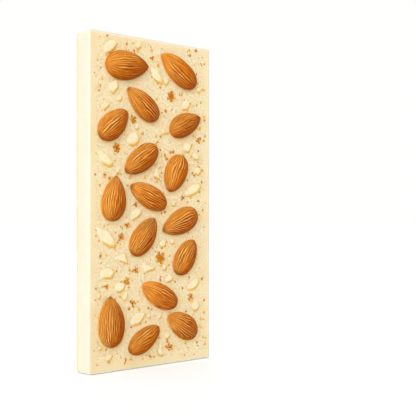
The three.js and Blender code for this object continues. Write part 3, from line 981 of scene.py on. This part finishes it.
def add_flake(flakes, row, draw):
    """A shaving of nut pressed into the poured face, with painted shade along its lower right rim.
    """
    kind, x, z, length, width, turn = row
    thickness = min(max(FLAKE_THICKNESS * width, FLAKE_THIN), FLAKE_THICK)
    across, up = flake_outline(kind, draw)
    tilt_across = draw.uniform(-TILT_ACROSS, TILT_ACROSS)
    tilt_up = draw.uniform(-TILT_UP, TILT_UP)
    cos, sin = math.cos(math.radians(turn)), math.sin(math.radians(turn))
    vertices = []
    tints = []
    for rise, share, slope, painted_shade in FLAKE_STEPS:
        a = across * share * length / 2
        b = up * share * width / 2
        lean = 1 + (tilt_across * a + tilt_up * b) * (rise > 0)
        side_x, side_z = a * cos - b * sin, a * sin + b * cos
        aside = FLAKE_SLOPE * (0.5 - slope)
        place = [x + side_x + aside, FRONT - rise * thickness * lean, z + side_z - aside]
        vertices.append(np.stack(place, -1))
        # Painted shade: the steps are tinted on their lower right.
        lower_right = smoothstep(-0.45, 0.55, (side_x - side_z) / np.hypot(side_x, side_z))
        tints.append(painted_shade * lower_right)
    aside = 0.5 * FLAKE_SLOPE
    foot = (x + aside, FRONT + 0.5 * thickness, z - aside)
    crown = (x - aside, FRONT - FLAKE_CROWN * thickness, z + aside)
    vertices.append(np.array([foot, crown]))
    tints.append(np.zeros(2))
    flakes.add(np.concatenate(vertices), flake_faces(), np.concatenate(tints))


def ball(level):
    """Vertices and triangles of a unit ball: 0 is an octahedron, and each level splits it once."""
    corners = [(1, 0, 0), (-1, 0, 0), (0, 1, 0), (0, -1, 0), (0, 0, 1), (0, 0, -1)]
    points = [Vector(corner) for corner in corners]
    faces = [(0, 2, 4), (2, 1, 4), (1, 3, 4), (3, 0, 4)]
    faces += [(2, 0, 5), (1, 2, 5), (3, 1, 5), (0, 3, 5)]
    for _ in range(level):
        middles = {}

        def middle(i, j):
            key = (min(i, j), max(i, j))
            if key not in middles:
                points.append(((points[i] + points[j]) / 2).normalized())
                middles[key] = len(points) - 1
            return middles[key]

        split = []
        for a, b, c in faces:
            ab, bc, ca = middle(a, b), middle(b, c), middle(c, a)
            split += [(a, ab, ca), (ab, b, bc), (ca, bc, c), (ab, bc, ca)]
        faces = split
    return np.array([tuple(p) for p in points]), np.array(faces)


def turned(points, first, second, angle):
    """Points turned by an angle from their first towards their second named axis."""
    cos, sin = math.cos(angle), math.sin(angle)
    result = points.copy()
    result[:, first] = points[:, first] * cos - points[:, second] * sin
    result[:, second] = points[:, first] * sin + points[:, second] * cos
    return result


def add_crumb(crumbs, shape, x, z, size, out, tint, draw):
    """An angular crumb: a ball pulled out of true and turned at random."""
    points, faces = shape
    stretch = np.array([draw.uniform(*CRUMB_STRETCH) for _ in range(3)])
    rough = np.array([draw.uniform(*CRUMB_ROUGHNESS) for _ in range(len(points))])
    turn = draw.uniform(0, 2 * math.pi)
    tilt = draw.uniform(0, 2 * math.pi)
    points = turned(points * rough[:, None] * stretch, 0, 2, turn)
    points = turned(points, 0, 1, tilt)
    crumbs.add(points * size * (1, CRUMB_FLATNESS, 1) + (x, FRONT - out, z), faces, tint)


def add_cluster(crumbs, shape, row, draw):
    """A star of crumbs round a middle one, each over a darker one that shows between them as painted
    shade.
    """
    x, z, spread, count = row
    start = draw.uniform(0, 2 * math.pi)
    for index in range(count):
        angle = start + 2 * math.pi * (index + draw.uniform(-0.2, 0.2)) / (count - 1)
        halfway = index % 2 and count > FULL_CLUSTER
        reach = spread * draw.uniform(*CLUSTER_REACHES) * (0.5 if halfway else 1)
        if index == 0:
            reach = 0
        across = x + reach * math.cos(angle)
        up = z + reach * math.sin(angle)
        larger = min(0.4 + 0.4 * spread, CLUSTER_LARGEST)
        size = CLUSTER_CRUMB * draw.uniform(*CLUSTER_SIZES) * larger
        tint = draw.uniform(*CLUSTER_TINTS) * min(reach / spread, 1)
        add_crumb(crumbs, shape, across, up, size, CLUSTER_OUT * size, tint, draw)
        under_size = UNDER_CRUMB * size
        add_crumb(crumbs, shape, across, up, under_size, -UNDER_DEPTH * size, GAP_SHADE_TINT, draw)


def drawn_size(draw, sizes):
    """A random size by one of the rows of sizes above."""
    least, more, power = sizes
    return least + more * draw.random() ** power


def free_place(draw, keep_off, stray):
    """A random place on the sandy part of the face or up to stray off it, clear of the almonds."""
    side = MARGIN_SIDE - stray
    while True:
        x = draw.uniform(LEFT + side, RIGHT - side)
        z = draw.uniform(MARGIN_BOTTOM - stray, LENGTH - MARGIN_TOP + stray)
        if not any(kernel.covers(x, z, keep_off) for kernel in KERNELS):
            return x, z


def build_toppings(flake_look, crumb_look, dust_look):
    """Three pieces: the flakes, the crumbs of clusters and single dots, and the dust."""
    draw = random.Random(TOPPING_SEED)
    flakes = Joined()
    for row in FLAKES:
        add_flake(flakes, row, draw)
    flakes.build("blanched_flakes", flake_look)

    crumb_shape = ball(1)
    crumbs = Joined()
    for cluster in CLUSTERS:
        add_cluster(crumbs, crumb_shape, cluster, draw)
    for _ in range(DOT_COUNT):
        x, z = free_place(draw, DOT_GAP, DOT_STRAY)
        size = drawn_size(draw, DOT_SIZES)
        tint = draw.uniform(*DOT_TINTS)
        add_crumb(crumbs, crumb_shape, x, z, size, CRUMB_OUT * size, tint, draw)
    crumbs.build("toasted_crumbs", crumb_look)

    grain_shape = ball(0)
    dust = Joined()
    for _ in range(DUST_COUNT):
        x, z = free_place(draw, DUST_GAP, DUST_STRAY)
        size = drawn_size(draw, DUST_SIZES)
        tint = draw.random() ** DUST_DARKENING
        add_crumb(dust, grain_shape, x, z, size, CRUMB_OUT * size, tint, draw)
    dust.build("nut_dust", dust_look)


# ----------------------------------------------------------
# Floor, light and camera


FLOOR_GLOW = 0.42  # how much lighter the camera sees the floor, as if it were lit from below
WALL_TONE = (1.0, 1.0, 0.995, 1.0)  # what the camera sees behind the floor
SKY_STRENGTH = 0.62
SKY_TONE = (1.0, 0.94, 0.85, 1.0)
# Kind, name, place against the middle of the bar in metres, strength, size, and tone. The size of
# a sun is an angle in degrees, and that of an area light is in metres.
LIGHTS = [
    ("SUN", "key", (-0.66, -0.75, 0.2), 2.0, 44, (1.0, 0.985, 0.97)),
    ("SUN", "side_fill", (-1.0, -0.05, 0.25), 0.6, 44, (1.0, 0.98, 1.0)),
    ("SUN", "right_fill", (0.9, -0.4, 0.0), 0.3, 60, (1.0, 0.97, 0.9)),
    ("AREA", "back_fill", (0.7, 1.0, 0.6), 6.0, 0.7, (1.0, 1.0, 1.0)),
]


def build_floor():
    """A white sweep. What the camera sees of it is lit evenly, so that shadows on it stay pale."""
    bpy.ops.mesh.primitive_plane_add(size=6, location=(0, 0, 0))
    floor = bpy.context.object
    floor.name = "floor"
    n = Nodes("floor_white")
    tone = n.mix(n.noise(n.place(), 200, 2), colour(220, 224, 232), colour(224, 228, 236))
    seen = n.make("LightPath").outputs["Is Camera Ray"]
    floor.data.materials.append(
        n.finish(
            Base_Color=tone,
            Roughness=0.9,
            Specular_IOR_Level=0.1,
            Emission_Color=(1.0, 1.0, 1.0, 1.0),
            Emission_Strength=n.math("MULTIPLY", seen, FLOOR_GLOW),
        )
    )


def add_light(kind, name, source, strength, size, tone):
    """A light that shines from source at the middle of the bar."""
    light = bpy.data.lights.new(name, kind)
    light.energy = strength
    light.color = tone
    if kind == "SUN":
        light.angle = math.radians(size)
    else:
        light.shape = "DISK"
        light.size = size
    aim = Vector((0, 0, LENGTH * MM / 2))
    lamp = bpy.data.objects.new(name, light)
    lamp.location = aim + Vector(source)
    lamp.rotation_euler = (-Vector(source)).to_track_quat("-Z", "Y").to_euler()
    bpy.context.scene.collection.objects.link(lamp)


def build_light():
    """Warm sky light on the bar, a plain wall that only the camera sees, and the lights."""
    world = bpy.data.worlds.new("studio")
    world.use_nodes = True
    tree = world.node_tree
    sky = tree.nodes["Background"]
    sky.inputs["Color"].default_value = SKY_TONE
    sky.inputs["Strength"].default_value = SKY_STRENGTH
    wall = tree.nodes.new("ShaderNodeBackground")
    wall.inputs["Color"].default_value = WALL_TONE
    wall.inputs["Strength"].default_value = 1.0
    seen = tree.nodes.new("ShaderNodeLightPath")
    either = tree.nodes.new("ShaderNodeMixShader")
    tree.links.new(seen.outputs["Is Camera Ray"], either.inputs[0])
    tree.links.new(sky.outputs[0], either.inputs[1])
    tree.links.new(wall.outputs[0], either.inputs[2])
    tree.links.new(either.outputs[0], tree.nodes["World Output"].inputs["Surface"])
    bpy.context.scene.world = world
    for row in LIGHTS:
        add_light(*row)


FRAME_PIXELS = 416  # the picture's side
FOCAL_PIXELS = 904  # its focal length
CAMERA_TURN = -43.8  # degrees from looking straight at the poured face, to the right
CAMERA_PITCH = 0.57  # degrees upwards
CAMERA_ASIDE = -279.95  # millimetres from the middle of the bar
CAMERA_OFF = 330.1  # millimetres in front of the poured face
CAMERA_HEIGHT = 71.2
CAMERA_CLIP = (0.01, 20)  # metres


def build_camera():
    """The camera at the photograph's viewing angle."""
    data = bpy.data.cameras.new("camera")
    data.sensor_width = 36
    data.lens = data.sensor_width * FOCAL_PIXELS / FRAME_PIXELS
    data.clip_start, data.clip_end = CAMERA_CLIP
    camera = bpy.data.objects.new("camera", data)
    camera.location = np.array((CAMERA_ASIDE, FRONT - CAMERA_OFF, CAMERA_HEIGHT)) * MM
    camera.rotation_euler = (math.radians(90 + CAMERA_PITCH), 0, math.radians(CAMERA_TURN))
    bpy.context.scene.collection.objects.link(camera)
    bpy.context.scene.camera = camera


def set_colours():
    """Colours shown as they are, with no film-like curve."""
    view = bpy.context.scene.view_settings
    view.view_transform = "Standard"
    view.look = "None"
    view.exposure = 0.0


skin_look = almond_material()
for number, (node, kernel) in enumerate(zip(ALMOND_NODES, KERNELS), 1):
    build_almond(node, kernel, number, skin_look)
build_chocolate(chocolate_material())
build_toppings(
    flake_material(),
    crumb_material("toasted_crumb", colour(189, 102, 0), colour(254, 194, 60)),
    crumb_material("nut_dust", colour(226, 174, 88), colour(255, 253, 246)),
)
build_floor()
build_light()
build_camera()
set_colours()
